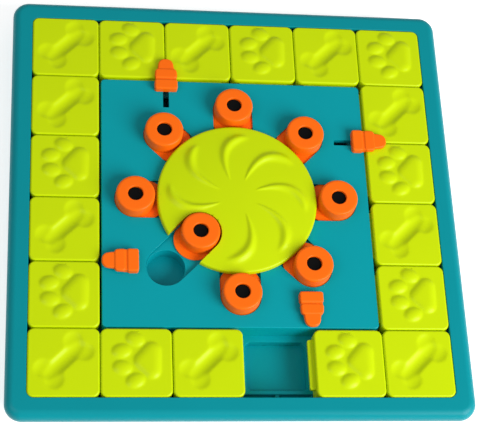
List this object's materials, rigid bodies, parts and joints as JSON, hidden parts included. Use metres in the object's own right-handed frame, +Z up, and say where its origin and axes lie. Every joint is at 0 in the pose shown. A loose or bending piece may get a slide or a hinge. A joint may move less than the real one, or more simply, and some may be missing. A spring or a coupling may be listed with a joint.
{
  "type": "dog puzzle feeder toy",
  "caption": "square treat puzzle for a dog: tiles slide round a ring of wells, pegs slide in tracks round a domed wheel, and hydrant-shaped locks hold the tiles",
  "frame": {"origin": "on the surface that the feet stand on, under the wheel's axis", "axes": "+Z up; +Y to the back row of tiles; +X to the right as seen from the front, where the open tile position is"},
  "size_m": [0.4084, 0.4084, 0.0465],
  "materials": {
    "teal_plastic": "satin-gloss moulded plastic",
    "lime_plastic": "satin-gloss moulded plastic",
    "orange_plastic": "satin-gloss moulded plastic",
    "black_rubber": "matt black pad",
    "grey_rubber": "matt non-slip rubber",
    "grey_plastic": "matt plastic",
    "steel": "plain steel screws"
  },
  "bodies": {
    "board": {"base_tray": "teal_plastic", "well_grid": "teal_plastic", "bottom_cover": "teal_plastic", "outer_rim": "teal_plastic", "inner_deck": "teal_plastic", "deck_skirt": "teal_plastic", "peg_cups": "teal_plastic", "deck_posts": "teal_plastic", "rubber_feet": "grey_rubber", "deck_screws": "steel", "cover_screws": "steel", "rim_screws": "steel", "tile_c1_r2": "lime_plastic", "tile_c1_r3": "lime_plastic", "tile_c1_r4": "lime_plastic", "tile_c1_r5": "lime_plastic", "tile_c1_r6": "lime_plastic", "tile_c2_r6": "lime_plastic", "tile_c3_r6": "lime_plastic", "tile_c4_r6": "lime_plastic", "tile_c5_r6": "lime_plastic", "tile_c6_r2": "lime_plastic", "tile_c6_r3": "lime_plastic", "tile_c6_r4": "lime_plastic", "tile_c6_r5": "lime_plastic", "tile_c6_r6": "lime_plastic"},
    "wheel": {"wheel_disc": "lime_plastic", "wheel_washer": "grey_plastic", "wheel_screw": "steel"},
    "peg_000_body": {"peg_000": "orange_plastic", "peg_eye_000": "black_rubber"},
    "peg_045_body": {"peg_045": "orange_plastic", "peg_eye_045": "black_rubber"},
    "peg_090_body": {"peg_090": "orange_plastic", "peg_eye_090": "black_rubber"},
    "peg_135_body": {"peg_135": "orange_plastic", "peg_eye_135": "black_rubber"},
    "peg_180_body": {"peg_180": "orange_plastic", "peg_eye_180": "black_rubber"},
    "peg_225_body": {"peg_225": "orange_plastic", "peg_eye_225": "black_rubber"},
    "peg_270_body": {"peg_270": "orange_plastic", "peg_eye_270": "black_rubber"},
    "peg_315_body": {"peg_315": "orange_plastic", "peg_eye_315": "black_rubber"},
    "lock_top_body": {"lock_top": "orange_plastic", "lock_keeper_top": "grey_plastic"},
    "lock_right_body": {"lock_right": "orange_plastic", "lock_keeper_right": "grey_plastic"},
    "lock_left_body": {"lock_left": "orange_plastic", "lock_keeper_left": "grey_plastic"},
    "lock_bottom_body": {"lock_bottom": "orange_plastic", "lock_keeper_bottom": "grey_plastic"},
    "tile_c1_r1_body": {"tile_c1_r1": "lime_plastic"},
    "tile_c2_r1_body": {"tile_c2_r1": "lime_plastic"},
    "tile_c3_r1_body": {"tile_c3_r1": "lime_plastic"},
    "tile_c5_r1_body": {"tile_c5_r1": "lime_plastic"},
    "tile_c6_r1_body": {"tile_c6_r1": "lime_plastic"}
  },
  "joints": [
    {"name": "tile_c3_slide", "type": "slide", "parent": "board", "child": "tile_c3_r1_body", "axis": [1, 0, 0], "range_m": [0, 0.062]},
    {"name": "tile_c2_slide", "type": "slide", "parent": "board", "child": "tile_c2_r1_body", "axis": [1, 0, 0], "range_m": [0, 0.062]},
    {"name": "tile_c1_slide", "type": "slide", "parent": "board", "child": "tile_c1_r1_body", "axis": [1, 0, 0], "range_m": [0, 0.062]},
    {"name": "tile_c5_slide", "type": "slide", "parent": "board", "child": "tile_c5_r1_body", "axis": [1, 0, 0], "range_m": [-0.062, 0]},
    {"name": "tile_c6_slide", "type": "slide", "parent": "board", "child": "tile_c6_r1_body", "axis": [1, 0, 0], "range_m": [-0.062, 0]},
    {"name": "lock_top_slide", "type": "slide", "parent": "board", "child": "lock_top_body", "axis": [0, -1, 0], "range_m": [0, 0.0205]},
    {"name": "lock_right_slide", "type": "slide", "parent": "board", "child": "lock_right_body", "axis": [-1, 0, 0], "range_m": [0, 0.0205]},
    {"name": "lock_left_slide", "type": "slide", "parent": "board", "child": "lock_left_body", "axis": [-1, 0, 0], "range_m": [0, 0.0205]},
    {"name": "lock_bottom_slide", "type": "slide", "parent": "board", "child": "lock_bottom_body", "axis": [0, -1, 0], "range_m": [0, 0.0205]},
    {"name": "peg_000_slide", "type": "slide", "parent": "board", "child": "peg_000_body", "axis": [-1, 0, 0], "range_m": [0, 0.0014]},
    {"name": "peg_045_slide", "type": "slide", "parent": "board", "child": "peg_045_body", "axis": [-0.7071, -0.7071, 0], "range_m": [0, 0.0014]},
    {"name": "peg_090_slide", "type": "slide", "parent": "board", "child": "peg_090_body", "axis": [0, -1, 0], "range_m": [0, 0.0014]},
    {"name": "peg_135_slide", "type": "slide", "parent": "board", "child": "peg_135_body", "axis": [0.7071, -0.7071, 0], "range_m": [0, 0.0014]},
    {"name": "peg_180_slide", "type": "slide", "parent": "board", "child": "peg_180_body", "axis": [1, 0, 0], "range_m": [0, 0.0014]},
    {"name": "peg_225_slide", "type": "slide", "parent": "board", "child": "peg_225_body", "axis": [-0.7071, -0.7071, 0], "range_m": [0, 0.043]},
    {"name": "peg_270_slide", "type": "slide", "parent": "board", "child": "peg_270_body", "axis": [0, 1, 0], "range_m": [0, 0.0014]},
    {"name": "peg_315_slide", "type": "slide", "parent": "board", "child": "peg_315_body", "axis": [-0.7071, 0.7071, 0], "range_m": [0, 0.0014]},
    {"name": "wheel_turn", "type": "hinge", "parent": "board", "child": "wheel", "pos_m": [0, 0, 0.034], "axis": [0, 0, 1], "range_deg": [-1.2, 1.2]}
  ],
  "couplings": [
    {"joint": "tile_c2_slide", "follows": "tile_c3_slide", "ratio": 1},
    {"joint": "tile_c1_slide", "follows": "tile_c3_slide", "ratio": 1},
    {"joint": "tile_c6_slide", "follows": "tile_c5_slide", "ratio": 1}
  ]
}
